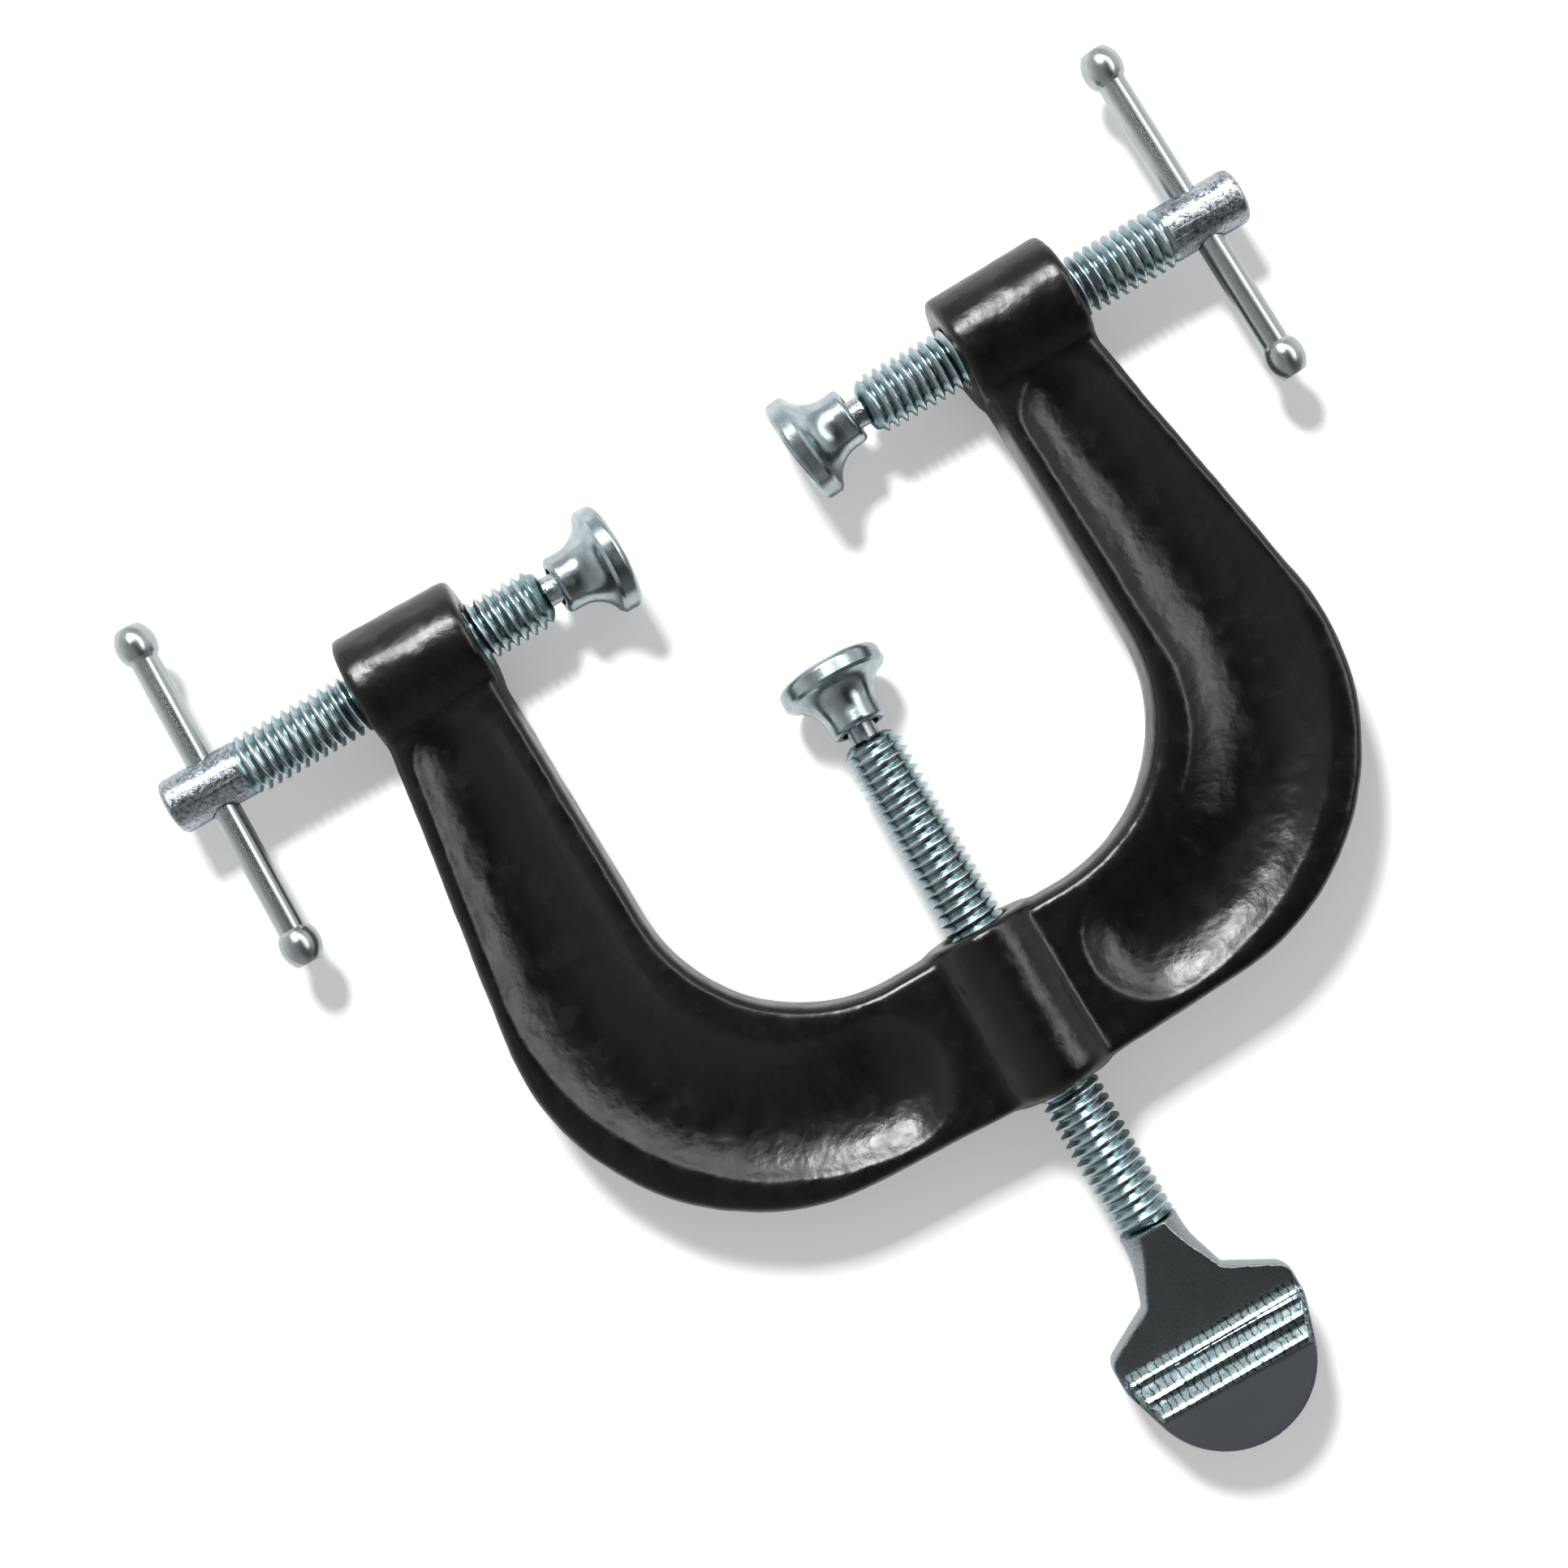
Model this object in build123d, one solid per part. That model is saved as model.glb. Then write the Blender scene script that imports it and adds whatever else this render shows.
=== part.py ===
from build123d import *
import math
import os

# A three-way edging clamp lying flat on a table: a cast C frame, two jaw screws that face each other
# and an edge screw through the frame's back. Lengths are in millimetres, angles in degrees.
# The three screw axes lie in one level plane and cross at one point. The places below are measured
# from that crossing, and each screw's own axis runs inward, from its head towards its pad.

# cast frame, parted in the plane of the screw axes
throat_half_width = 41.5
throat_depth = 75.7
throat_corner_radius = 27.0
back_width = 26.8
back_rise = 2.5
arm_flare = 9.5
arm_skew = 1.5  # how far the jaw ends of both arms stand to the left
bend_radius = 40.2
rim_half_thickness = 5.8
rim_width = 2.9
rim_edge_radius = 1.6
casting_draft = 5.0
trough_depth = 2.9
trough_top_depth = 2.4
trough_top = 15.5
boss_length = 19.7
boss_stand_in = 0.3
boss_outer_radius = 9.8
boss_taper = 0.5
boss_edge_radius = 0.9
back_boss_edge_radius = 2.8
boss_mouth_chamfer = 0.5

# 3/8-16 thread of the screws, and its clearance in the bosses
thread_pitch = 1.5875
thread_diameter = 9.525
thread_depth = 0.97
thread_crest_width = thread_pitch / 8
thread_angle = 60.0
thread_clearance = 0.07

# screws, each built along its own axis from its ball
ball_radius = 3.0
neck_radius = 2.3
neck_length = 5.5
shoulder_length = 2.8
shoulder_swell = 0.36  # share of its length in which the shoulder rises by two thirds
jaw_thread_end = 57.9
jaw_head_length = 12.3
jaw_head_radius = 4.4
jaw_head_edge_radius = 0.9
handle_hole_from_end = 7.1
edge_thread_end = 89.7

# thumb head of the edge screw, forged flat from the round bar
spade_length = 36.7
spade_side_radius = 15.4
spade_tip_radius = 13.9
spade_neck_radius = 4.75
spade_shoulder_radius = 7.0
spade_shoulder_place = 10.4
spade_corner_place = 15.0
spade_side_end = 20.0
spade_neck_end = 3.5
spade_neck_sweep = 15.0
spade_shoulder_sweep = 1.7
spade_corner_radius = 2.5
spade_side_sweep = 5.0
spade_root_thickness = 8.5
spade_blade_thickness = 4.0
spade_tip_thickness = 3.2
ridge_places = (17.7, 20.0, 23.3, 26.6)  # where each ridge starts, and where the last one ends
ridge_height = 0.8
ridge_crest_share = 0.84  # of a ridge's width, where it is highest
ridge_margin = 0.8
ridge_lean = -1.4

# sliding T handles of the jaw screws
handle_length = 57.0
handle_radius = 2.2
knob_radius = 3.15
knob_length = 5.0
knob_flat_radius = 2.0
knob_shoulder = 0.55
handle_clearance = 0.06

# bell-shaped swivel pads, each with a snap ring behind the screw's ball
pad_face_reach = 6.6
pad_rim_radius = 8.45
pad_rim_thickness = 2.7
pad_rim_edge_radius = 1.0
pad_rim_chamfer = 0.5
pad_bell_radius = 5.2
pad_collar_radius = 4.5
pad_collar_edge_radius = 0.8
pad_mouth_reach = 3.8
pad_tilt = 10.5
ball_clearance = 0.05
ring_wire_radius = 0.4
ring_clearance = 0.15
ring_opening = 30.0

# where the clamp stands: each ball's place on its axis, and how its handle and pad lie
left_ball_place = -25.2
right_ball_place = -18.7
edge_ball_place = -37.4
left_pad_roll = 0.0
right_pad_roll = 30.0
edge_pad_roll = 0.0
left_handle_shift = 1.7
right_handle_shift = 0.8
left_handle_lean = -1.2
right_handle_lean = 2.2

# derived sizes
thread_radius = thread_diameter / 2
root_radius = thread_radius - thread_depth
bore_radius = thread_radius + thread_clearance
boss_inner_radius = boss_outer_radius - boss_taper
boss_outer_place = throat_half_width - boss_stand_in + boss_length
arm_shoulder = boss_outer_radius - rim_edge_radius
hole_lean = max(abs(left_handle_lean), abs(right_handle_lean))
handle_hole_radius = (
    handle_radius / math.cos(math.radians(hole_lean))
    + jaw_head_radius * math.tan(math.radians(hole_lean))
    + handle_clearance
)
pad_mouth_radius = (
    neck_radius / math.cos(math.radians(pad_tilt))
    + pad_mouth_reach * math.tan(math.radians(pad_tilt))
    + ball_clearance
)
ring_radius = neck_radius + ring_clearance + ring_wire_radius
ring_from_ball = ball_radius + ball_clearance + ring_wire_radius
ring_place = math.sqrt(ring_from_ball**2 - ring_radius**2)
ring_groove_radius = ring_from_ball + ring_wire_radius + ball_clearance

# each screw axis: its z runs inward and its x points up
left_axis = Plane(origin=(0, 0, 0), x_dir=(0, 0, 1), z_dir=(1, 0, 0)).location
right_axis = Plane(origin=(0, 0, 0), x_dir=(0, 0, 1), z_dir=(-1, 0, 0)).location
edge_axis = Plane(origin=(0, 0, 0), x_dir=(0, 0, 1), z_dir=(0, 1, 0)).location


def corner_at(face, x, y):
    """The face's vertex nearest to a point."""
    return min(face.vertices(), key=lambda v: (v.X - x) ** 2 + (v.Y - y) ** 2)


def corner_ring(solid, height):
    """The solid's round edge nearest to a height."""
    rings = solid.edges().filter_by(GeomType.CIRCLE)
    return min(rings, key=lambda e: abs(e.arc_center.Z - height))


# ---- frame ----


def arm_outer_edge(distance):
    """How far out an arm reaches at a distance from the jaw axis towards the back."""
    return boss_outer_place + (distance - arm_shoulder) * math.tan(math.radians(arm_flare))


def bend_corner():
    """Where the lines of an arm's outer edge and the back's outer edge would meet."""
    flare = math.tan(math.radians(arm_flare))
    rise = math.tan(math.radians(back_rise))
    back = throat_depth + back_width
    distance = (back - (boss_outer_place - arm_shoulder * flare) * rise) / (1 + flare * rise)
    return (arm_outer_edge(distance), -distance)


def frame_plate():
    outer_x, outer_y = bend_corner()
    right = [
        (outer_x, outer_y),
        (boss_outer_place - arm_skew, -arm_shoulder),
        (boss_outer_place - arm_skew, 0),
        (throat_half_width - arm_skew, 0),
        (throat_half_width, -throat_depth),
    ]
    left = [
        (-throat_half_width, -throat_depth),
        (-throat_half_width - arm_skew, 0),
        (-boss_outer_place - arm_skew, 0),
        (-boss_outer_place - arm_skew, -arm_shoulder),
        (-outer_x, outer_y),
    ]
    outline = make_face(Polyline((0, -throat_depth - back_width), *right, *left, close=True))
    for side in (-1, 1):
        outline = fillet(corner_at(outline, side * throat_half_width, -throat_depth), throat_corner_radius)
        outline = fillet(corner_at(outline, side * outer_x, outer_y), bend_radius)
    upper = extrude(outline, rim_half_thickness, taper=casting_draft)
    upper = fillet(upper.faces().sort_by(Axis.Z)[-1].outer_wire().edges(), rim_edge_radius)
    return upper + mirror(upper, Plane.XY)


def trough_section_radius(half_width, depth):
    """Radius of a round trough of a given half width and depth."""
    return (half_width**2 + depth**2) / (2 * depth)


def frame_trough(top_shift):
    """Cutter for the dished trough of the right half's upper side, its top end shifted sideways."""
    top = Vector((throat_half_width + arm_outer_edge(trough_top)) / 2 + top_shift, -trough_top)
    outer_x, outer_y = bend_corner()
    middle = Vector((throat_half_width + outer_x) / 2, (outer_y - throat_depth) / 2)
    back = Vector(0, -throat_depth - back_width / 2)
    path = FilletPolyline(top, middle, back, radius=(throat_corner_radius + bend_radius) / 2)
    bend = path.edges().filter_by(GeomType.CIRCLE)[0]
    entry = bend @ 0
    exit_direction = bend % 1
    arm_direction = (middle - top).normalized()

    top_half_width = (arm_outer_edge(trough_top) - throat_half_width) / 2 - rim_width
    top_radius = trough_section_radius(top_half_width, trough_top_depth)
    half_width = (arm_outer_edge(-entry.Y) - throat_half_width) / 2 - rim_width
    radius = trough_section_radius(half_width, trough_depth)
    lift = Vector(0, 0, rim_half_thickness + radius - trough_depth)
    top_lift = Vector(0, 0, rim_half_thickness + top_radius - trough_top_depth)

    entry_circle = Plane(origin=entry + lift, z_dir=arm_direction) * Circle(radius)
    top_circle = Plane(origin=top + top_lift, z_dir=arm_direction) * Circle(top_radius)
    arm_part = loft([top_circle, entry_circle])
    bend_part = sweep(entry_circle, path=bend.moved(Pos(lift)))
    top_turn = math.degrees(math.atan2(-arm_direction.Y, -arm_direction.X)) - 90
    exit_turn = math.degrees(math.atan2(exit_direction.Y, exit_direction.X)) - 90
    top_cap = Pos(top + top_lift) * Rot(Z=top_turn) * Sphere(top_radius, arc_size3=180, align=None)
    exit_cap = Pos((bend @ 1) + lift) * Rot(Z=exit_turn) * Sphere(radius, arc_size3=180, align=None)
    return arm_part + bend_part + top_cap + exit_cap


def boss(outer_place, length, outer_edge_radius):
    """A tapered boss on its screw's axis."""
    cone = Cone(boss_outer_radius, boss_inner_radius, length, align=(Align.CENTER, Align.CENTER, Align.MIN))
    rounded = fillet(corner_ring(cone, 0), outer_edge_radius)
    rounded = fillet(corner_ring(rounded, length), boss_edge_radius)
    return Pos(0, 0, -outer_place) * rounded


def boss_bore(outer_place, length):
    """Cutter for the hole through a boss, with a chamfer at each mouth."""
    mouth_radius = bore_radius + boss_mouth_chamfer
    drill = Cylinder(bore_radius, length, align=(Align.CENTER, Align.CENTER, Align.MIN))
    countersink = Cone(mouth_radius, 0, mouth_radius, align=(Align.CENTER, Align.CENTER, Align.MIN))
    return Pos(0, 0, -outer_place) * (drill + countersink + Pos(0, 0, length) * Rot(X=180) * countersink)


def frame():
    plate = frame_plate()
    upper_troughs = frame_trough(-arm_skew) + mirror(frame_trough(arm_skew), Plane.YZ)
    plate = plate - upper_troughs - mirror(upper_troughs, Plane.XY)
    sides = [
        (left_axis, boss_outer_place + arm_skew, boss_length, boss_edge_radius),
        (right_axis, boss_outer_place - arm_skew, boss_length, boss_edge_radius),
        (edge_axis, throat_depth + back_width, back_width + boss_stand_in, back_boss_edge_radius),
    ]
    for axis, place, length, edge_radius in sides:
        plate = plate + axis * boss(place, length, edge_radius)
    for axis, place, length, edge_radius in sides:
        plate = plate - axis * boss_bore(place, length)
    return plate


# ---- screws ----


def thread_outline(start, end):
    """Half section of a thread, drawn as level rings at its pitch from its start up."""
    flank = thread_depth * math.tan(math.radians(thread_angle / 2))
    points = [(0, start)]
    for ring in range(math.ceil((end - start) / thread_pitch)):
        crest = start + ring * thread_pitch
        points += [
            (thread_radius, crest),
            (thread_radius, crest + thread_crest_width),
            (root_radius, crest + thread_crest_width + flank),
            (root_radius, crest + thread_pitch - flank),
        ]
    top = start + math.ceil((end - start) / thread_pitch) * thread_pitch
    points += [(thread_radius, top), (0, top)]
    return make_face(Polyline(*points, close=True))


def shoulder_outline(start):
    """Half section of the rounded form that the thread is held to, from its start to the neck."""
    end = -neck_length
    join = end - shoulder_length
    rounding = ((neck_radius + 2 * thread_radius) / 3, end - shoulder_swell * shoulder_length)
    thread_side = (thread_radius, join)
    neck_side = (neck_radius, end)
    with BuildSketch() as outline:
        with BuildLine():
            Polyline(neck_side, (0, end), (0, start), (thread_radius, start), thread_side)
            ThreePointArc(thread_side, rounding, neck_side)
        make_face()
    return outline.sketch


def shank(thread_end):
    """Thread, rounded shoulder, neck and ball, about the ball's centre."""
    thread = thread_outline(-thread_end, -neck_length) & shoulder_outline(-thread_end)
    neck = Rectangle(neck_radius, neck_length, align=(Align.MIN, Align.MAX))
    right_half = Rectangle(2 * ball_radius, 2 * ball_radius, align=(Align.MIN, Align.CENTER))
    ball = Circle(ball_radius) & right_half
    return revolve(Plane.XZ * (thread + neck + ball), Axis.Z)


def jaw_screw():
    head = Cylinder(jaw_head_radius, jaw_head_length, align=(Align.CENTER, Align.CENTER, Align.MAX))
    head = fillet(head.edges().filter_by(GeomType.CIRCLE).sort_by(Axis.Z)[0], jaw_head_edge_radius)
    hole = Rot(X=90) * Cylinder(handle_hole_radius, 3 * jaw_head_radius)
    head = head - Pos(0, 0, handle_hole_from_end - jaw_head_length) * hole
    return shank(jaw_thread_end) + Pos(0, 0, -jaw_thread_end) * head


def spade_half_outline():
    """Half of the thumb head's outline as (radius, height), with its root at height 0."""
    tip_centre = spade_tip_radius - spade_length
    side_lean = math.atan2(-spade_side_end - tip_centre, spade_side_radius)
    side_distance = math.hypot(-spade_side_end - tip_centre, spade_side_radius)
    meeting_angle = side_lean - math.acos(spade_tip_radius / side_distance)
    meeting_radius = spade_tip_radius * math.cos(meeting_angle)
    meeting_height = tip_centre + spade_tip_radius * math.sin(meeting_angle)
    neck = make_face(
        Polyline(
            (0, 0),
            (spade_neck_radius, 0),
            (spade_neck_radius, -spade_neck_end),
            (spade_shoulder_radius, -spade_shoulder_place),
            (spade_side_radius, -spade_corner_place),
            (spade_side_radius, -spade_side_end),
            (meeting_radius, meeting_height),
            (0, meeting_height),
            close=True,
        )
    )
    neck = fillet(corner_at(neck, spade_side_radius, -spade_side_end), spade_side_sweep)
    neck = fillet(corner_at(neck, spade_side_radius, -spade_corner_place), spade_corner_radius)
    neck = fillet(corner_at(neck, spade_neck_radius, -spade_neck_end), spade_neck_sweep)
    neck = fillet(corner_at(neck, spade_shoulder_radius, -spade_shoulder_place), spade_shoulder_sweep)
    right_half = Rectangle(spade_side_radius, 2 * spade_tip_radius, align=(Align.MIN, Align.CENTER))
    return neck + Pos(0, tip_centre) * (Circle(spade_tip_radius) & right_half)


def spade_slab():
    """The side view of the thumb head: a wedge from the round root down to the blade."""
    root = spade_root_thickness / 2
    blade = spade_blade_thickness / 2
    tip = spade_tip_thickness / 2
    upper = [(root, 1), (root, 0), (blade, -spade_corner_place), (tip, -spade_length - 1)]
    lower = [(-x, y) for x, y in reversed(upper)]
    side = make_face(Polyline(*upper, *lower, close=True))
    for sign in (-1, 1):
        side = fillet(corner_at(side, sign * blade, -spade_corner_place), spade_length)
    return extrude(Plane.XZ * side, 2 * spade_side_radius, both=True)


def spade_ridges():
    """Grip ridges across both sides of the blade, steeper on the side away from the thread."""
    low = spade_blade_thickness / 2
    high = low + ridge_height
    ridges = Sketch()
    for start, end in zip(ridge_places, ridge_places[1:]):
        crest = start + ridge_crest_share * (end - start)
        tooth = Polyline((low, -start), (high, -crest), (low, -end), (0, -end), (0, -start), close=True)
        ridges = ridges + make_face(tooth)
    upper = extrude(Plane.XZ * ridges, spade_side_radius, both=True)
    both = upper + mirror(upper, Plane.YZ)
    middle = Pos(0, 0, -(ridge_places[0] + ridge_places[-1]) / 2)
    return middle * Rot(X=ridge_lean) * middle.inverse() * both


def spade():
    outline = spade_half_outline()
    turned = revolve(Plane.XZ * outline, Axis.Z)
    blade = turned & spade_slab()
    inset = revolve(Plane.XZ * (offset(outline, -ridge_margin) & outline), Axis.Z)
    return blade + (spade_ridges() & inset)


def edge_screw():
    return shank(edge_thread_end) + Pos(0, 0, -edge_thread_end) * spade()


# ---- handles, pads and rings ----


def handle():
    """T handle along Z, with a barrel knob upset on each end."""
    end = handle_length / 2
    inner = end - knob_length
    widest = end - knob_length / 2
    shoulder = ((handle_radius + knob_radius) / 2, inner)
    with BuildSketch(Plane.XZ) as outline:
        with BuildLine():
            Polyline((0, 0), (handle_radius, 0), (handle_radius, inner - knob_shoulder), shoulder)
            ThreePointArc(shoulder, (knob_radius, widest), (knob_flat_radius, end))
            Polyline((knob_flat_radius, end), (0, end), (0, 0))
        make_face()
    half = revolve(outline.sketch, Axis.Z)
    return half + mirror(half, Plane.XY)


def placed_handle(ball_place, shift, lean):
    """A handle through its screw's head, slid along itself by shift and leaning in its loose hole."""
    hole_place = ball_place - jaw_thread_end - jaw_head_length + handle_hole_from_end
    return Pos(0, 0, hole_place) * Rot(X=lean) * Pos(0, shift, 0) * Rot(X=-90) * handle()


def pad():
    """Pad about its ball's centre, with its face towards +Z."""
    back = pad_face_reach - pad_rim_thickness
    collar_edge = pad_rim_radius - pad_rim_chamfer
    bell_start = collar_edge - pad_collar_radius
    bell_drop = math.sqrt(pad_bell_radius**2 - (pad_bell_radius - bell_start) ** 2)
    bell_end = back - pad_rim_chamfer - bell_drop
    bell_centre = pad_collar_radius + pad_bell_radius
    bell_half = pad_bell_radius * math.sin(math.radians(45))
    rim_side = (collar_edge, back - pad_rim_chamfer)
    collar_side = (pad_collar_radius, bell_end)
    with BuildSketch(Plane.XZ) as outline:
        with BuildLine():
            Polyline(
                (0, pad_face_reach),
                (pad_rim_radius, pad_face_reach),
                (pad_rim_radius, back),
                rim_side,
            )
            ThreePointArc(rim_side, (bell_centre - bell_half, bell_end + bell_half), collar_side)
            Polyline(
                collar_side,
                (pad_collar_radius, -pad_mouth_reach),
                (0, -pad_mouth_reach),
                (0, pad_face_reach),
            )
        make_face()
    body = revolve(outline.sketch, Axis.Z)
    ends = body.edges().filter_by(GeomType.CIRCLE).sort_by(Axis.Z)
    body = fillet(ends[0], pad_collar_edge_radius)
    body = fillet(body.edges().filter_by(GeomType.CIRCLE).sort_by(Axis.Z)[-1], pad_rim_edge_radius)

    seat = Sphere(ball_radius + ball_clearance)
    groove_depth = 2 * ring_groove_radius
    below = Pos(0, 0, -2 * ring_wire_radius) * Cylinder(
        groove_depth, groove_depth, align=(Align.CENTER, Align.CENTER, Align.MAX)
    )
    groove = Sphere(ring_groove_radius) & below
    mouth = Cylinder(pad_mouth_radius, 2 * pad_mouth_reach, align=(Align.CENTER, Align.CENTER, Align.MAX))
    return body - seat - groove - Pos(0, 0, -ring_place) * mouth


def placed_pad(ball_place, roll):
    """A pad hanging at its full tilt, which is downwards when roll is 0."""
    return Pos(0, 0, ball_place) * Rot(Z=roll) * Rot(Y=-pad_tilt) * pad()


def placed_ring(ball_place):
    ring = Torus(ring_radius, ring_wire_radius, major_angle=360 - ring_opening)
    return Pos(0, 0, ball_place - ring_place) * ring


# ---- assembly ----


def parts():
    """Every node, about the crossing of the screw axes."""
    made = {"frame": frame()}
    made["left_screw"] = left_axis * Pos(0, 0, left_ball_place) * jaw_screw()
    made["right_screw"] = right_axis * Pos(0, 0, right_ball_place) * jaw_screw()
    made["edge_screw"] = edge_axis * Pos(0, 0, edge_ball_place) * edge_screw()
    left_bar = placed_handle(left_ball_place, left_handle_shift, left_handle_lean)
    right_bar = placed_handle(right_ball_place, right_handle_shift, right_handle_lean)
    made["left_handle"] = left_axis * left_bar
    made["right_handle"] = right_axis * right_bar
    sides = [
        ("left", left_axis, left_ball_place, left_pad_roll),
        ("right", right_axis, right_ball_place, right_pad_roll),
        ("edge", edge_axis, edge_ball_place, edge_pad_roll),
    ]
    for side, axis, ball_place, roll in sides:
        made[side + "_pad"] = axis * placed_pad(ball_place, roll)
        made[side + "_ring"] = axis * placed_ring(ball_place)
    return made


def standing_place(made):
    """Where the crossing lies when the clamp rests on the ground, centred about the origin."""
    handle_boxes = [made[name].bounding_box() for name in ("left_handle", "right_handle")]
    left = min(left_ball_place - jaw_thread_end - jaw_head_length, handle_boxes[0].min.X)
    right = max(jaw_thread_end + jaw_head_length - right_ball_place, handle_boxes[1].max.X)
    front = edge_ball_place - edge_thread_end - spade_length
    back = max(box.max.Y for box in handle_boxes)
    lowest = (right_axis * boss(boss_outer_place, boss_length, boss_edge_radius)).bounding_box().min.Z
    return Pos(-(left + right) / 2, -(front + back) / 2, -lowest)


def main():
    made = parts()
    place = standing_place(made)
    os.makedirs("parts", exist_ok=True)
    for name, part in made.items():
        export_step(place * part, f"parts/{name}.step")
    print("crossing of the screw axes", place.position)


main()
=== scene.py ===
import bmesh
import bpy
from math import copysign, exp, hypot, pi, radians, sqrt
from mathutils import Matrix, Vector


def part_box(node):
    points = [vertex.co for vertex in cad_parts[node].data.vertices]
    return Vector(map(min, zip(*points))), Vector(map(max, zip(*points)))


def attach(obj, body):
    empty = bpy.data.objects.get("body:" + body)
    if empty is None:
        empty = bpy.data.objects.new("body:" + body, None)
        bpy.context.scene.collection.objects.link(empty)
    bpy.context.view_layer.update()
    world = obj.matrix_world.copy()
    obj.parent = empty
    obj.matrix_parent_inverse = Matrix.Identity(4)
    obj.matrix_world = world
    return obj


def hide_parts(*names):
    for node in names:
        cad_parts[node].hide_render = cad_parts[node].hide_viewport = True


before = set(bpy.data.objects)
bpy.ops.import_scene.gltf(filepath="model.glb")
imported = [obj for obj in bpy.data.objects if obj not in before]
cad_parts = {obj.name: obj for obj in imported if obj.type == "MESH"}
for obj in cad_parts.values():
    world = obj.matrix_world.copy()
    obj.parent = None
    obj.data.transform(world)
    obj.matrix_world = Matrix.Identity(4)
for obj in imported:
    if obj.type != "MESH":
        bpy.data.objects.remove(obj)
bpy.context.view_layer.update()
millimetre = 0.001
closeness = {"merge": 1e-7, "cut": 1e-7, "sweep": 1e-6, "rim": 2e-6}  # metres, counted as one


def centreOf(node):
    low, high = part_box(node)
    return (low + high) / 2


# the three screw axes cross here, level with the middle of the casting
crossing = Vector((centreOf("edge_screw").x, centreOf("left_screw").y, centreOf("left_screw").z))

inwardOf = {"left": Vector((1, 0, 0)), "right": Vector((-1, 0, 0)), "edge": Vector((0, 1, 0))}


def axisMatrix(side, origin):  # local z runs inward along the screw, local x is up
    inward = inwardOf[side]
    up = Vector((0, 0, 1))
    across = inward.cross(up)
    turn = Matrix((up, across, inward)).transposed().to_4x4()
    return Matrix.Translation(origin) @ turn


cameraView = {
    "height": 0.370,  # above the plane of the screw axes
    "aside": (-0.0141, -0.0426),  # from the crossing of the axes
    "turn": -30,  # the clamp lies askew in the view
    "width": 0.235,  # what the view takes in at the axes
    "sensor": 36,
}


def addCamera():
    data = bpy.data.cameras.new("overheadCamera")
    data.sensor_width = cameraView["sensor"]
    data.lens = data.sensor_width * cameraView["height"] / cameraView["width"]
    camera = bpy.data.objects.new("overheadCamera", data)
    aside = Vector((*cameraView["aside"], cameraView["height"]))
    camera.location = crossing + aside
    camera.rotation_euler = (0, 0, radians(cameraView["turn"]))
    bpy.context.scene.collection.objects.link(camera)
    bpy.context.scene.camera = camera


addCamera()
print("camera placed")


def hexLinear(code):
    parts = [int(code[i:i + 2], 16) / 255 for i in (0, 2, 4)]
    linear = [c / 12.92 if c <= 0.04045 else ((c + 0.055) / 1.055) ** 2.4 for c in parts]
    return (*linear, 1)


def addNode(tree, kind, inputs=None, **settings):
    node = tree.nodes.new(kind)
    for name, value in settings.items():
        setattr(node, name, value)
    for name, value in (inputs or {}).items():
        if isinstance(value, bpy.types.NodeSocket):
            tree.links.new(value, node.inputs[name])
        else:
            node.inputs[name].default_value = value
    return node


def perMetre(size):  # noise scale for a grain of this many millimetres, on Object coordinates
    return 1 / (size * millimetre)


def newMaterial(name):
    material = bpy.data.materials.new(name)
    material.use_nodes = True
    material.node_tree.nodes.clear()
    return material, material.node_tree


def objectPlace(tree):
    return addNode(tree, "ShaderNodeTexCoord").outputs["Object"]


def attribute(tree, name):
    return addNode(tree, "ShaderNodeAttribute", attribute_name=name).outputs["Fac"]


def noise(tree, place, grain, detail=3, roughness=0.55):
    scale = {"Scale": perMetre(grain), "Detail": detail, "Roughness": roughness}
    return addNode(tree, "ShaderNodeTexNoise", {"Vector": place, **scale}).outputs["Fac"]


def spread(tree, value, low, high, fromLow=0.3, fromHigh=0.7):  # most of a noise is 0.3 to 0.7
    ranges = {"From Min": fromLow, "From Max": fromHigh, "To Min": low, "To Max": high}
    return addNode(tree, "ShaderNodeMapRange", {"Value": value, **ranges}).outputs["Result"]


def combine(tree, operation, first, second):
    return addNode(tree, "ShaderNodeMath", {0: first, 1: second}, operation=operation).outputs[0]


def mixColours(tree, share, first, second):
    inputs = {0: share, 6: first, 7: second}
    return addNode(tree, "ShaderNodeMix", inputs, data_type="RGBA").outputs[2]


def mottled(tree, value, first, second):  # two colours that run into each other over a noise
    return mixColours(tree, spread(tree, value, 0, 1), hexLinear(first), hexLinear(second))


def bumped(tree, layers):  # layers of (height, depth in millimetres), one on top of the other
    normal = None
    for height, depth in layers:
        inputs = {"Height": height, "Distance": depth * millimetre, "Strength": 1}
        if normal:
            inputs["Normal"] = normal
        normal = addNode(tree, "ShaderNodeBump", inputs).outputs["Normal"]
    return normal


def finishMaterial(tree, shader):
    addNode(tree, "ShaderNodeOutputMaterial", {"Surface": shader.outputs[0]})


def finishSurface(tree, colour, roughness, layers, **others):
    inputs = {"Base Color": colour, "Roughness": roughness, "Normal": bumped(tree, layers)}
    finishMaterial(tree, addNode(tree, "ShaderNodeBsdfPrincipled", {**inputs, **others}))


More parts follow.
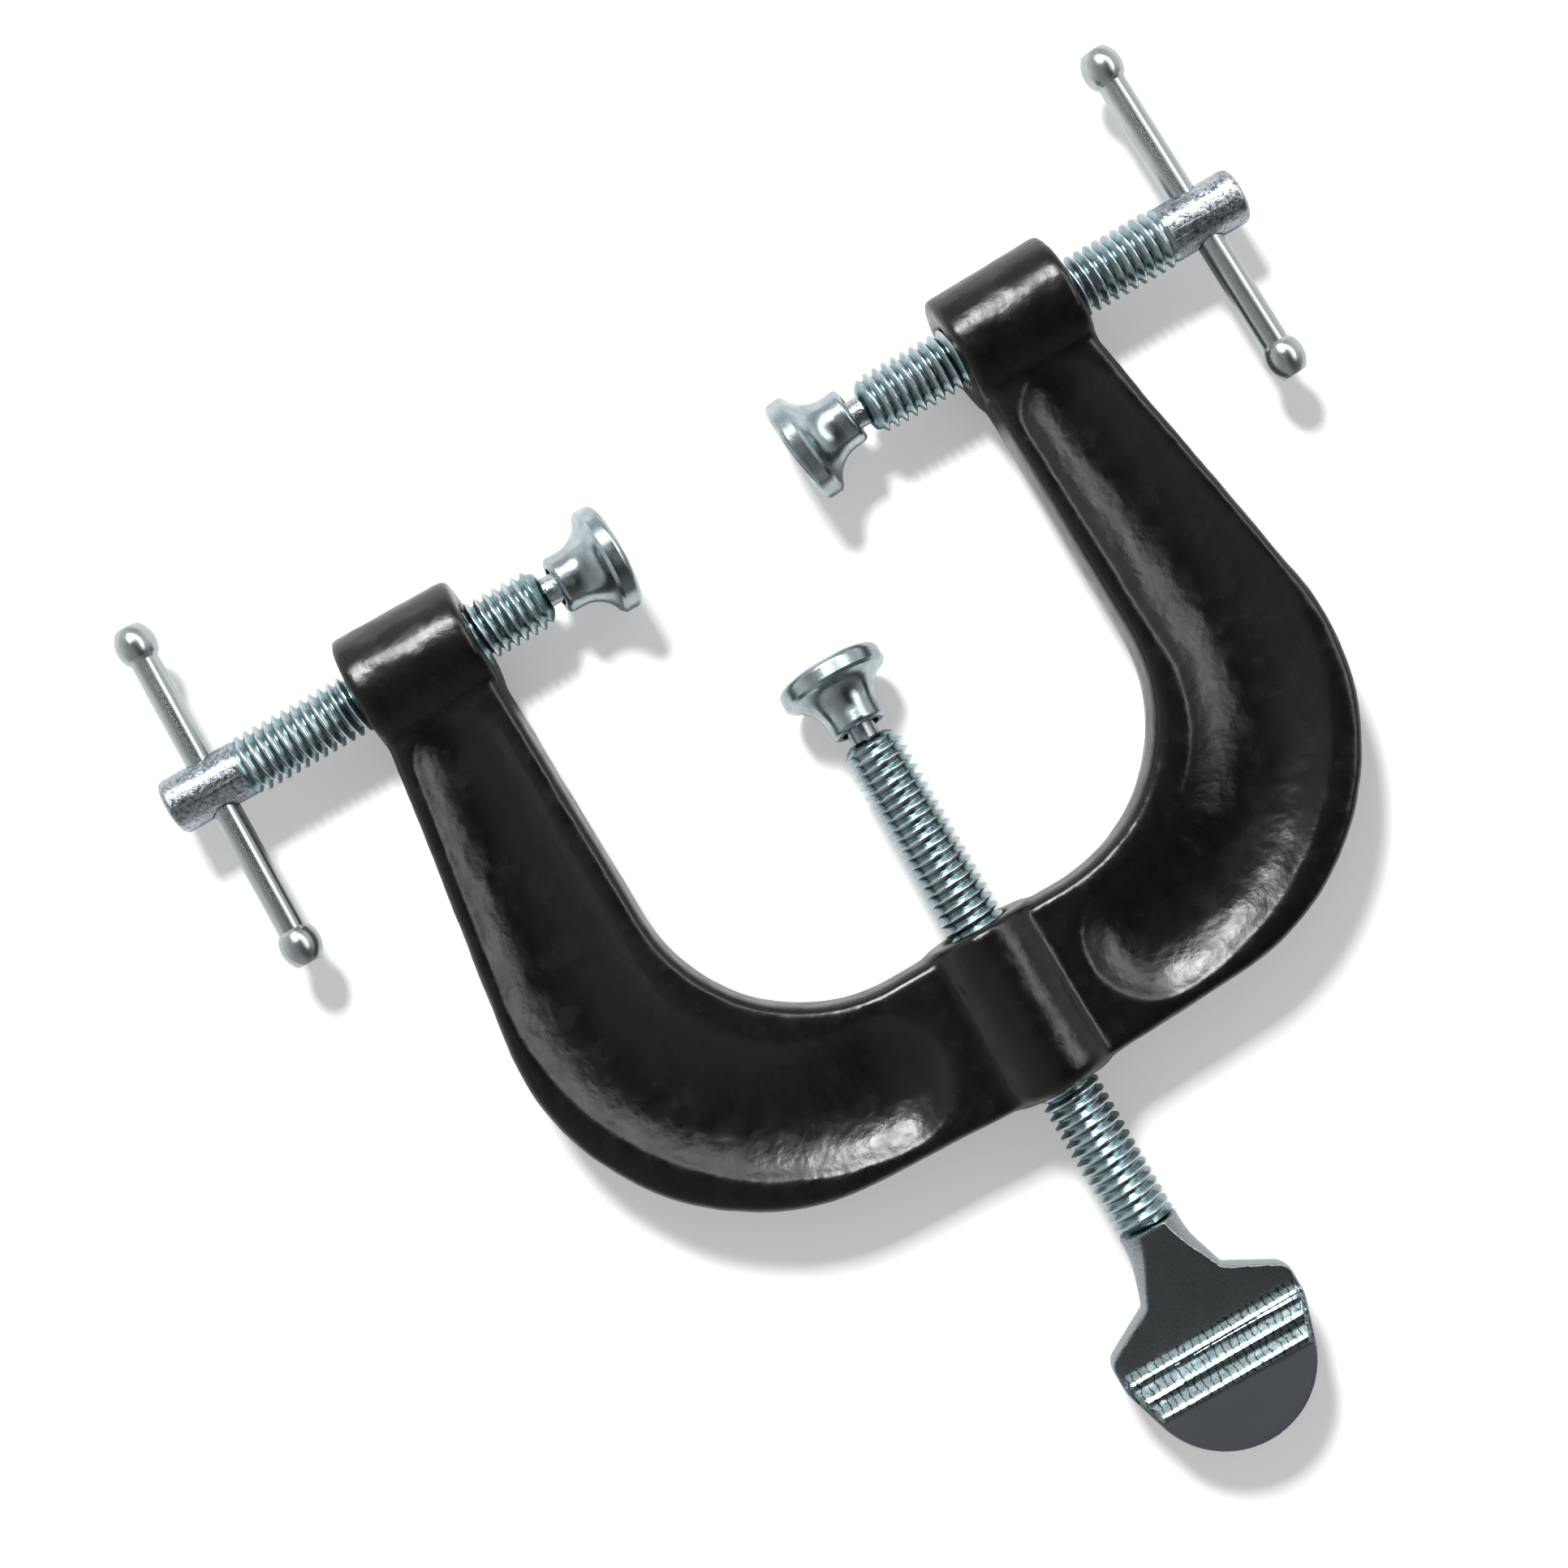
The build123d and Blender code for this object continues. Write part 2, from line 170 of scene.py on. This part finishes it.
# grains and bump depths of the finishes are in millimetres
enamelLook = {
    "colour": "0A0706",
    "worn": "0F0C0A",
    "waves": 3.8,  # the sand-cast skin under the enamel
    "waveDepth": 0.15,
    "peel": 1.0,  # orange peel of the sprayed coat
    "peelDepth": 0.030,
    "grit": 0.3,
    "gritDepth": 0.012,
    "gloss": (0.19, 0.31),
    "index": 1.5,
    "iron": "6E6A66",  # bare casting in the chips round the tapped holes
    "ironGloss": 0.25,  # how much rougher it is
    "chip": 0.9,
    "chipEdge": (0.50, 0.53),  # the enamel is whole under the first and gone over the second
}


def blackEnamel():  # stoved enamel on rough cast iron: satin gloss that breaks up over the skin
    material, tree = newMaterial("blackEnamelOnCastIron")
    place = objectPlace(tree)
    waves = noise(tree, place, enamelLook["waves"], detail=2)
    peel = noise(tree, place, enamelLook["peel"], detail=2)
    grit = noise(tree, place, enamelLook["grit"], detail=2)
    coat = mottled(tree, peel, enamelLook["colour"], enamelLook["worn"])
    sheen = spread(tree, waves, *enamelLook["gloss"])
    speck = noise(tree, place, enamelLook["chip"], detail=4, roughness=0.7)
    edge = combine(tree, "MULTIPLY", speck, attribute(tree, "mouth"))
    chipped = spread(tree, edge, 0, 1, *enamelLook["chipEdge"])
    colour = mixColours(tree, chipped, coat, hexLinear(enamelLook["iron"]))
    rougher = spread(tree, chipped, 0, enamelLook["ironGloss"], 0, 1)
    roughness = combine(tree, "ADD", sheen, rougher)
    layers = [
        (waves, enamelLook["waveDepth"]),
        (peel, enamelLook["peelDepth"]),
        (grit, enamelLook["gritDepth"]),
    ]
    finishSurface(tree, colour, roughness, layers, IOR=enamelLook["index"])
    return material


threadLook = {
    "colour": "B4C3C7",
    "filmAndShade": "7D9DA2",  # blue-green film left in the grooves, darkened there as painted shade
    "crest": "CDD4D7",  # crests worn bright, partly a painted highlight
    "filmed": (0, 0.5),  # shares of the thread's depth over which the film and its painted shade give way
    "rubbedAndHighlit": (0.75, 1),  # and over which the wear and the painted highlight set in
    "patch": 3.0,
    "line": 0.11,  # the fine rings that the rolling dies leave
    "lineDepth": 0.035,
    "scratch": 0.25,
    "scratchDepth": 0.015,
    "gloss": (0.15, 0.29),
}


def zincThread():  # rolled steel thread, bright zinc plate with a blue-green passivated film, painted shade in the grooves and a painted highlight on the crests
    material, tree = newMaterial("passivatedZincThread")
    place = objectPlace(tree)
    patch = noise(tree, place, threadLook["patch"])
    scratch = noise(tree, place, threadLook["scratch"])
    ringScale = {"W": attribute(tree, "along"), "Scale": perMetre(threadLook["line"]), "Detail": 2}
    rings = addNode(tree, "ShaderNodeTexNoise", ringScale, noise_dimensions="1D").outputs["Fac"]
    crest = attribute(tree, "crest")
    flank = mottled(tree, patch, threadLook["colour"], threadLook["filmAndShade"])
    # the grooves take the dark film colour: partly the real film, partly painted shade in the
    # recess
    bare = spread(tree, crest, 0, 1, *threadLook["filmed"])
    groove = mixColours(tree, bare, hexLinear(threadLook["filmAndShade"]), flank)
    # the crests turn paler: partly worn zinc, partly a painted highlight
    rubbedAndHighlit = spread(tree, crest, 0, 1, *threadLook["rubbedAndHighlit"])
    colour = mixColours(tree, rubbedAndHighlit, groove, hexLinear(threadLook["crest"]))
    roughness = spread(tree, scratch, *threadLook["gloss"])
    layers = [(rings, threadLook["lineDepth"]), (scratch, threadLook["scratchDepth"])]
    finishSurface(tree, colour, roughness, layers, Metallic=1)
    return material


headLook = {
    "colour": "C6CED4",
    "dull": "9AA4AB",
    "pit": "6C757C",
    "pitEdge": (0.34, 0.52),  # a pit is at its darkest under the first and ends at the second
    "speckle": 0.7,
    "speckleDepth": 0.13,
    "patch": 4.0,
    "gloss": (0.14, 0.32),
}


def zincHead():  # turned steel with a pitted, speckled zinc plate
    material, tree = newMaterial("speckledZincPlate")
    place = objectPlace(tree)
    speckle = noise(tree, place, headLook["speckle"], detail=4, roughness=0.65)
    patch = noise(tree, place, headLook["patch"])
    plate = mottled(tree, patch, headLook["colour"], headLook["dull"])
    pitted = spread(tree, speckle, 1, 0, *headLook["pitEdge"])
    colour = mixColours(tree, pitted, plate, hexLinear(headLook["pit"]))
    roughness = spread(tree, speckle, *headLook["gloss"])
    layers = [(speckle, headLook["speckleDepth"])]
    finishSurface(tree, colour, roughness, layers, Metallic=1)
    return material


thumbLook = {
    "colour": "AAB1B4",
    "dull": "878F94",
    "film": "9DB9BE",  # blue-green film between the cracks of the grip
    "torn": "3E4A4D",  # the cracks themselves
    "brush": 0.4,
    "brushDepth": 0.003,
    "crack": 1.25,  # from crack to crack along the ridges
    "crackEdge": (0.03, 0.14),  # torn right open under the first, closed over the second
    "wander": {"Distortion": 5, "Detail": 3, "Detail Scale": 2.2, "Detail Roughness": 0.6},
    "lump": 1.5,
    "lumpDepth": 0.05,
    "tipShade": "8A8F98",  # the end beyond the ridges is duller and bluer
    "gloss": (0.24, 0.34),
    "tipGloss": 0.10,  # how much rougher that end is
}
bandScale = 2 * pi / 20  # a wave texture of this scale has one band per unit


def zincThumbHead():  # hot-forged blade under zinc, its rolled ridges cracked across
    material, tree = newMaterial("forgedZincThumbHead")
    place = objectPlace(tree)
    grip = attribute(tree, "grip")
    tip = attribute(tree, "tip")
    brush = noise(tree, place, thumbLook["brush"], roughness=0.6)
    lump = noise(tree, place, thumbLook["lump"], detail=1)
    wave = {"Vector": place, "Scale": bandScale * perMetre(thumbLook["crack"])}
    wave.update(thumbLook["wander"])
    bands = addNode(tree, "ShaderNodeTexWave", wave, bands_direction="X").outputs["Fac"]
    torn = combine(tree, "MULTIPLY", spread(tree, bands, 1, 0, *thumbLook["crackEdge"]), grip)
    plain = mottled(tree, brush, thumbLook["colour"], thumbLook["dull"])
    filmed = mixColours(tree, spread(tree, lump, 0, 1), plain, hexLinear(thumbLook["film"]))
    blade = mixColours(tree, tip, plain, hexLinear(thumbLook["tipShade"]))
    whole = mixColours(tree, grip, blade, filmed)
    colour = mixColours(tree, torn, whole, hexLinear(thumbLook["torn"]))
    duller = spread(tree, tip, 0, thumbLook["tipGloss"], 0, 1)
    roughness = combine(tree, "ADD", spread(tree, brush, *thumbLook["gloss"]), duller)
    rough = combine(tree, "MULTIPLY", lump, grip)
    layers = [(brush, thumbLook["brushDepth"]), (rough, thumbLook["lumpDepth"])]
    finishSurface(tree, colour, roughness, layers, Metallic=1)
    return material


barLook = {
    "colour": "B9C0C1",
    "dark": "A8AFB0",
    "streak": (0.5, 9.0),  # across and along the bar
    "streakDepth": 0.005,
    "gloss": (0.2, 0.28),
    "metallic": 0.94,
}


def zincBar():  # drawn bar under bright zinc, with faint drawing lines along it
    material, tree = newMaterial("drawnZincBar")
    fine, long = [perMetre(size) for size in barLook["streak"]]
    stretch = {"Vector": objectPlace(tree), "Scale": (fine, long, fine)}
    stretched = addNode(tree, "ShaderNodeMapping", stretch).outputs["Vector"]
    grain = {"Vector": stretched, "Scale": 1, "Detail": 3}
    streak = addNode(tree, "ShaderNodeTexNoise", grain).outputs["Fac"]
    colour = mottled(tree, streak, barLook["colour"], barLook["dark"])
    roughness = spread(tree, streak, *barLook["gloss"])
    layers = [(streak, barLook["streakDepth"])]
    finishSurface(tree, colour, roughness, layers, Metallic=barLook["metallic"])
    return material


padLook = {
    "colour": "BAC6CA",
    "dull": "96A4A9",
    "patch": 2.6,
    "patchDepth": 0.05,
    "grain": 0.5,
    "grainDepth": 0.01,
    "gloss": (0.17, 0.32),
}


def zincPad():  # pad in blue-grey zinc, smooth and fairly bright
    material, tree = newMaterial("blueZincPad")
    place = objectPlace(tree)
    patch = noise(tree, place, padLook["patch"])
    grain = noise(tree, place, padLook["grain"])
    colour = mottled(tree, patch, padLook["colour"], padLook["dull"])
    roughness = spread(tree, patch, *padLook["gloss"])
    layers = [(patch, padLook["patchDepth"]), (grain, padLook["grainDepth"])]
    finishSurface(tree, colour, roughness, layers, Metallic=1)
    return material


wireLook = {"colour": "77767A", "dark": "4A4748", "grain": 0.3, "grainDepth": 0.01, "gloss": 0.35}


def springWire():  # drawn spring wire, dark from its heat treatment and oiled
    material, tree = newMaterial("oiledSpringWire")
    grain = noise(tree, objectPlace(tree), wireLook["grain"])
    colour = mottled(tree, grain, wireLook["colour"], wireLook["dark"])
    layers = [(grain, wireLook["grainDepth"])]
    finishSurface(tree, colour, wireLook["gloss"], layers, Metallic=1)
    return material


finish = {
    "enamel": blackEnamel(),
    "thread": zincThread(),
    "head": zincHead(),
    "thumb": zincThumbHead(),
    "bar": zincBar(),
    "pad": zincPad(),
    "wire": springWire(),
}
print("finishes made")


def loadNode(node, toLocal=None):  # a merged copy of a CAD node's mesh
    mesh = bmesh.new()
    mesh.from_mesh(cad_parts[node].data)
    bmesh.ops.remove_doubles(mesh, verts=mesh.verts, dist=closeness["merge"])
    if toLocal:
        bmesh.ops.transform(mesh, matrix=toLocal, verts=mesh.verts)
    return mesh


def cutAt(mesh, height, keepAbove):  # cuts across local z
    everything = mesh.verts[:] + mesh.edges[:] + mesh.faces[:]
    sides = {"clear_inner": keepAbove, "clear_outer": not keepAbove}
    plane = {"plane_co": (0, 0, height), "plane_no": (0, 0, 1), "dist": closeness["cut"]}
    bmesh.ops.bisect_plane(mesh, geom=everything, **plane, **sides)


def makeObject(name, mesh, sharpAngle=None):  # edges sharper than the angle stay sharp
    data = bpy.data.meshes.new(name)
    mesh.to_mesh(data)
    mesh.free()
    data.shade_smooth()
    if sharpAngle:
        data.set_sharp_from_angle(angle=radians(sharpAngle))
    piece = bpy.data.objects.new(name, data)
    bpy.context.scene.collection.objects.link(piece)
    return piece


def applyModifiers(piece):
    graph = bpy.context.evaluated_depsgraph_get()
    data = bpy.data.meshes.new_from_object(piece.evaluated_get(graph), depsgraph=graph)
    piece.modifiers.clear()
    old = piece.data
    piece.data = data
    bpy.data.meshes.remove(old)


def setWeights(piece, name, values):
    weights = piece.data.attributes.new(name, "FLOAT", "POINT")
    weights.data.foreach_set("value", values)


def castSkin(piece, voxel, rounds, lumps):  # remeshes a piece, so its edges and corners round off
    remesh = piece.modifiers.new("remesh", "REMESH")
    remesh.mode = "VOXEL"
    remesh.voxel_size = voxel
    remesh.use_smooth_shade = True
    soften = piece.modifiers.new("soften", "SMOOTH")
    soften.factor = 0.5
    soften.iterations = rounds
    for name, size, depth in lumps:
        texture = bpy.data.textures.new(name, "CLOUDS")
        texture.noise_scale = size
        texture.noise_depth = 1
        lump = piece.modifiers.new(name, "DISPLACE")
        lump.texture = texture
        lump.texture_coords = "LOCAL"
        lump.strength = depth
        lump.mid_level = 0.5
    applyModifiers(piece)


castingShape = {
    "voxel": 0.00055,
    "rounds": 9,
    "lumps": [("sandSkin", 0.004, 0.00014), ("dents", 0.012, 0.00026)],  # name, size, depth
    "boreRadius": 0.00496,
    "chippedBand": (0.0052, 0.0075),  # radii from which and to which the enamel chips
}


def offAxis(point, inward):  # from a screw's axis square out to a point
    place = point - crossing
    return place - inward * place.dot(inward)


def openBores(piece):  # the rounding narrows the bores a little, so their walls go back out
    for vertex in piece.data.vertices:
        for inward in inwardOf.values():
            off = offAxis(vertex.co, inward)
            if off.length < castingShape["boreRadius"]:
                vertex.co += off.normalized() * (castingShape["boreRadius"] - off.length)


def mouthShare(point):  # 1 at the mouth of a bore, 0 away from it
    near, far = castingShape["chippedBand"]
    distance = min(offAxis(point, inward).length for inward in inwardOf.values())
    return min(1, max(0, (far - distance) / (far - near)))


def makeCasting():
    piece = makeObject("frameCasting", loadNode("frame"))
    castSkin(piece, castingShape["voxel"], castingShape["rounds"], castingShape["lumps"])
    openBores(piece)
    setWeights(piece, "mouth", [mouthShare(v.co) for v in piece.data.vertices])
    piece.data.materials.append(finish["enamel"])
    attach(piece, "frame")
    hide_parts("frame")
    print("casting made,", len(piece.data.polygons), "faces")


makeCasting()


threadShape = {
    "pitch": 0.0015875,
    "crestRadius": 0.0047625,
    "rootRadius": 0.0037925,
    "crestWidth": 0.00022,
    "rootWidth": 0.00036,
    "stepsPerTurn": 44,
    "spareTurns": 2,  # swept beyond each end, and cut off again
    "runOut": {"left": 0.0016, "right": 0.0016, "edge": 0.0005},  # grooves fade in from the head
    "fade": 0.0026,  # and out again over the shoulder
    "ballRadius": 0.003,
    "neckRadius": 0.0023,
    "shoulderEnd": -0.0055,  # from the ball's centre
    "shoulderLength": 0.0028,
    "seam": 0.00002,  # left open between the thread and the ends, then bridged
    "sharpAngle": 35,
}
spadeShape = {
    "voxel": 0.0002,
    "rounds": 2,
    "lumps": [("hammered", 0.005, 0.00008)],  # name, size, depth
    "grip": (0.0176, 0.0268),  # from the root to the first and the last ridge
    "bladeHalf": 0.00185,
    "ridges": (0.0177, 0.0200, 0.0233, 0.0266),  # where each starts, and where the last one ends
    "firstHeight": 0.62,  # the first ridge is rolled lower than the others
    "crest": 0.84,  # how far across a ridge its crest stands
    "beadHeight": 0.00016,  # a bead stands along each crest
    "beadWidth": 0.00026,
}
screwEnds = {"left": 0.0123, "right": 0.0123, "edge": 0.0371}  # length of the unthreaded outer end


def shoulderRadius(height):  # the rounded end that the thread dies into, at a height from the ball
    depth = (threadShape["shoulderEnd"] - height) / threadShape["shoulderLength"]
    if depth >= 1:
        return 1  # a metre, so it leaves the thread as it is
    rise = threadShape["crestRadius"] - threadShape["neckRadius"]
    return threadShape["neckRadius"] + rise * sqrt(max(0, 1 - (1 - depth) ** 2))


def smoothShare(value):
    value = min(1, max(0, value))
    return value * value * (3 - 2 * value)


def sweptThread(start, end):  # full thread, a little longer than it has to be
    mesh = bmesh.new()
    pitch, spare = threadShape["pitch"], threadShape["spareTurns"]
    land = threadShape["crestWidth"]
    flank = (pitch - land - threadShape["rootWidth"]) / 2
    crest, root = threadShape["crestRadius"], threadShape["rootRadius"]
    heights = [0, land, land + flank, pitch - flank, pitch]
    radii = [crest, crest, root, root, crest]
    turns = int((end - start) / pitch) + 2 * spare
    base = start - spare * pitch
    points = [mesh.verts.new((radius, 0, base + height)) for radius, height in zip(radii, heights)]
    edges = [mesh.edges.new(pair) for pair in zip(points, points[1:])]
    steps = threadShape["stepsPerTurn"]
    sweep = {"cent": (0, 0, 0), "axis": (0, 0, 1), "dvec": (0, 0, pitch / steps)}
    sweep.update(angle=2 * pi * turns, steps=steps * turns, use_merge=False)
    bmesh.ops.spin(mesh, geom=points + edges, **sweep)
    bmesh.ops.remove_doubles(mesh, verts=mesh.verts, dist=closeness["sweep"])
    return mesh


def helicalThread(start, end, startRadius, runOut):
    mesh = sweptThread(start, end)
    cutAt(mesh, start, True)
    cutAt(mesh, end, False)
    crest = threadShape["crestRadius"]
    for vertex in mesh.verts:  # the grooves fade out towards the head and over the rounded shoulder
        radius = hypot(vertex.co.x, vertex.co.y)
        fromHead = smoothShare((vertex.co.z - start) / runOut)
        fromNeck = smoothShare((end - vertex.co.z) / threadShape["fade"])
        headRadius = startRadius + (crest - startRadius) * fromHead
        envelope = min(headRadius, shoulderRadius(vertex.co.z))
        wanted = envelope - (crest - radius) * fromHead * fromNeck
        vertex.co.x *= wanted / radius
        vertex.co.y *= wanted / radius
    return mesh


def gripShare(point, root):  # 1 on the grip ridges of the thumb head
    first, last = spadeShape["grip"]
    inBand = first < root - point.z < last
    return float(inBand and abs(point.x) > spadeShape["bladeHalf"])


def rollRidges(mesh, root):
    half = spadeShape["bladeHalf"]
    for vertex in mesh.verts:
        if not gripShare(vertex.co, root):
            continue
        distance = root - vertex.co.z
        for first, last in zip(spadeShape["ridges"], spadeShape["ridges"][1:]):
            if not first <= distance < last:
                continue
            rise = abs(vertex.co.x) - half
            if first == spadeShape["ridges"][0]:
                rise *= spadeShape["firstHeight"]
            fromCrest = (distance - first) - spadeShape["crest"] * (last - first)
            rise += spadeShape["beadHeight"] * exp(-(fromCrest / spadeShape["beadWidth"]) ** 2)
            vertex.co.x = copysign(half + rise, vertex.co.x)


def forgedEnd(mesh, root):  # the thumb head with its edges rounded as the hammer leaves them
    boundary = [e for e in mesh.edges if e.is_boundary]
    bmesh.ops.contextual_create(mesh, geom=boundary)
    bmesh.ops.triangulate(mesh, faces=mesh.faces)
    piece = makeObject("thumbHeadBlank", mesh)
    castSkin(piece, spadeShape["voxel"], spadeShape["rounds"], spadeShape["lumps"])
    rounded = bmesh.new()
    rounded.from_mesh(piece.data)
    rollRidges(rounded, root)
    bpy.data.objects.remove(piece)
    return rounded


def addMesh(mesh, other, slot):
    data = bpy.data.meshes.new("part")
    for face in other.faces:
        face.material_index = slot
    other.to_mesh(data)
    other.free()
    mesh.from_mesh(data)
    bpy.data.meshes.remove(data)


def rimAt(mesh, height):
    def isNear(vertex):
        return abs(vertex.co.z - height) < closeness["rim"]

    return [e for e in mesh.edges if e.is_boundary and all(isNear(v) for v in e.verts)]


def joinedScrew(side, toLocal, start):  # the CAD's two ends with a true thread between them
    end, seam = threadShape["shoulderEnd"], threadShape["seam"]
    outer = loadNode(side + "_screw", toLocal)
    cutAt(outer, start - seam, False)
    if side == "edge":
        outer = forgedEnd(outer, start)
    inner = loadNode(side + "_screw", toLocal)
    cutAt(inner, end + seam, True)
    rim = [hypot(v.co.x, v.co.y) for v in outer.verts if v.co.z > start - 2 * seam]
    mesh = helicalThread(start, end, sum(rim) / len(rim), threadShape["runOut"][side])
    addMesh(mesh, outer, 1)
    addMesh(mesh, inner, 1)
    for height, cut in ((start, start - seam), (end, end + seam)):
        bmesh.ops.bridge_loops(mesh, edges=rimAt(mesh, height) + rimAt(mesh, cut))
    bmesh.ops.recalc_face_normals(mesh, faces=mesh.faces)
    return mesh


def screwWeights(mesh, start):  # what the finishes need to know about each point
    depth = threadShape["crestRadius"] - threadShape["rootRadius"]
    beyond = spadeShape["grip"][1]
    places = [v.co.copy() for v in mesh.verts]
    return {
        "crest": [1 - (threadShape["crestRadius"] - hypot(p.x, p.y)) / depth for p in places],
        "grip": [gripShare(p, start) for p in places],
        "along": [p.z for p in places],
        "tip": [float(start - p.z > beyond) for p in places],
    }


def makeScrew(side):
    node = side + "_screw"
    low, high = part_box(node)
    inward = inwardOf[side]
    tip = max(low.dot(inward), high.dot(inward))
    ball = crossing + inward * (tip - crossing.dot(inward) - threadShape["ballRadius"])
    toPlace = axisMatrix(side, ball)
    reach = abs((high - low).dot(inward))
    start = threadShape["ballRadius"] - reach + screwEnds[side]
    mesh = joinedScrew(side, toPlace.inverted(), start)
    weights = screwWeights(mesh, start)
    bmesh.ops.transform(mesh, matrix=toPlace, verts=mesh.verts)
    piece = makeObject(side + "ScrewForged", mesh, threadShape["sharpAngle"])
    for name, values in weights.items():
        setWeights(piece, name, values)
    piece.data.materials.append(finish["thread"])
    piece.data.materials.append(finish["thumb" if side == "edge" else "head"])
    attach(piece, node)
    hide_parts(node)
    print(piece.name, "made,", len(piece.data.polygons), "faces")


for side in inwardOf:
    makeScrew(side)


def dress(node, material):
    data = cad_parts[node].data
    data.materials.clear()
    data.materials.append(material)


for side in inwardOf:
    dress(side + "_pad", finish["pad"])
    dress(side + "_ring", finish["wire"])
for side in ("left", "right"):
    dress(side + "_handle", finish["bar"])
print("pads, rings and handles finished")


white = (1, 1, 1, 1)
stageLook = {
    "floor": "F4F4F4",
    "floorSize": 6.0,
    "lift": 0.28,  # a glow that only the camera sees, which whitens the surface
}


def mixShaders(tree, share, first, second):
    inputs = {0: share, 1: first.outputs[0], 2: second.outputs[0]}
    return addNode(tree, "ShaderNodeMixShader", inputs)


def makeFloor():
    mesh = bmesh.new()
    bmesh.ops.create_grid(mesh, x_segments=1, y_segments=1, size=stageLook["floorSize"] / 2)
    floor = makeObject("floor", mesh)
    material, tree = newMaterial("matteWhiteSurface")
    path = addNode(tree, "ShaderNodeLightPath").outputs
    paper = addNode(tree, "ShaderNodeBsdfDiffuse", {"Color": hexLinear(stageLook["floor"])})
    glow = addNode(tree, "ShaderNodeEmission", {"Color": white, "Strength": stageLook["lift"]})
    both = addNode(tree, "ShaderNodeAddShader", {0: paper.outputs[0], 1: glow.outputs[0]})
    finishMaterial(tree, mixShaders(tree, path["Is Camera Ray"], paper, both))
    floor.data.materials.append(material)


keyLamp = {
    "from": (0.0, 0.466, 0.620),  # the crossing of the axes
    "size": 0.13,
    "watts": 7.5,
}


def addKeyLamp():
    data = bpy.data.lights.new("key", "AREA")
    data.shape = "RECTANGLE"
    data.size = data.size_y = keyLamp["size"]
    data.energy = keyLamp["watts"]
    light = bpy.data.objects.new("key", data)
    light.location = crossing + Vector(keyLamp["from"])
    light.rotation_euler = (crossing - light.location).to_track_quat("-Z", "Y").to_euler()
    light.visible_glossy = False  # its mirror image is part of the sky
    bpy.context.scene.collection.objects.link(light)


# strengths, and the span of the direction's x, y, z or cosine over which each one sets in
skyLook = {
    "horizon": 0.62,
    "overhead": 0.04,  # the dark of the camera and its stand
    "height": (0.18, 0.80),  # from horizon to overhead
    "south": 0.3,  # the share of both towards the near side, which is unlit
    "southSpan": (-0.45, 0.05),
    "west": 0.28,  # the wall on the left, half lit
    "westSpan": (-0.35, 0.15),
    "east": 0.30,
    "eastSpan": (0.62, 0.90),
    "panel": 3.9,  # a long soft light that stands from the right round to the far side
    "panelToward": (0.82, 0.57, 0),
    "panelSpan": (0.12, 0.42),
    "panelFoot": (0.56, 0.70),
    "panelTop": (0.76, 0.89),
    "key": 27.0,  # the key as the finishes mirror it, softened by its cloth
    "keySpan": (0.978, 0.996),
    "daylight": 0.31,  # the even light that everything but the mirror images gets
}


def cosineTo(tree, direction, target):
    inputs = {0: direction, 1: target}
    return addNode(tree, "ShaderNodeVectorMath", inputs, operation="DOT_PRODUCT").outputs["Value"]


def panelGlow(tree, direction, height):
    foot = spread(tree, height, 0, 1, *skyLook["panelFoot"])
    top = spread(tree, height, 1, 0, *skyLook["panelTop"])
    body = combine(tree, "MULTIPLY", foot, top)
    facing = cosineTo(tree, direction, skyLook["panelToward"])
    side = spread(tree, facing, 0, skyLook["panel"], *skyLook["panelSpan"])
    return combine(tree, "MULTIPLY", body, side)


def mirroredRoom(tree):  # dark overhead, as under a camera stand, and pale towards the walls
    direction = addNode(tree, "ShaderNodeTexCoord").outputs["Generated"]
    part = addNode(tree, "ShaderNodeSeparateXYZ", {"Vector": direction}).outputs
    dome = spread(tree, part["Z"], skyLook["horizon"], skyLook["overhead"], *skyLook["height"])
    near = spread(tree, part["Y"], skyLook["south"], 1, *skyLook["southSpan"])
    dome = combine(tree, "MULTIPLY", dome, near)
    west = spread(tree, part["X"], skyLook["west"], 0, *skyLook["westSpan"])
    east = spread(tree, part["X"], 0, skyLook["east"], *skyLook["eastSpan"])
    facing = cosineTo(tree, direction, Vector(keyLamp["from"]).normalized())
    key = spread(tree, facing, 0, skyLook["key"], *skyLook["keySpan"])
    level = combine(tree, "ADD", dome, combine(tree, "ADD", west, east))
    level = combine(tree, "ADD", level, panelGlow(tree, direction, part["Z"]))
    return combine(tree, "ADD", level, key)


def background(tree, strength):
    return addNode(tree, "ShaderNodeBackground", {"Color": white, "Strength": strength})


def makeSky():
    world = bpy.data.worlds.new("studio")
    bpy.context.scene.world = world
    world.use_nodes = True
    tree = world.node_tree
    tree.nodes.clear()
    path = addNode(tree, "ShaderNodeLightPath").outputs
    even = background(tree, skyLook["daylight"])
    room = background(tree, mirroredRoom(tree))
    lit = mixShaders(tree, path["Is Glossy Ray"], even, room)
    seen = mixShaders(tree, path["Is Camera Ray"], lit, background(tree, 1))
    addNode(tree, "ShaderNodeOutputWorld", {"Surface": seen.outputs[0]})


makeFloor()
addKeyLamp()
makeSky()
bpy.context.scene.view_settings.view_transform = "Standard"
print("stage lit")
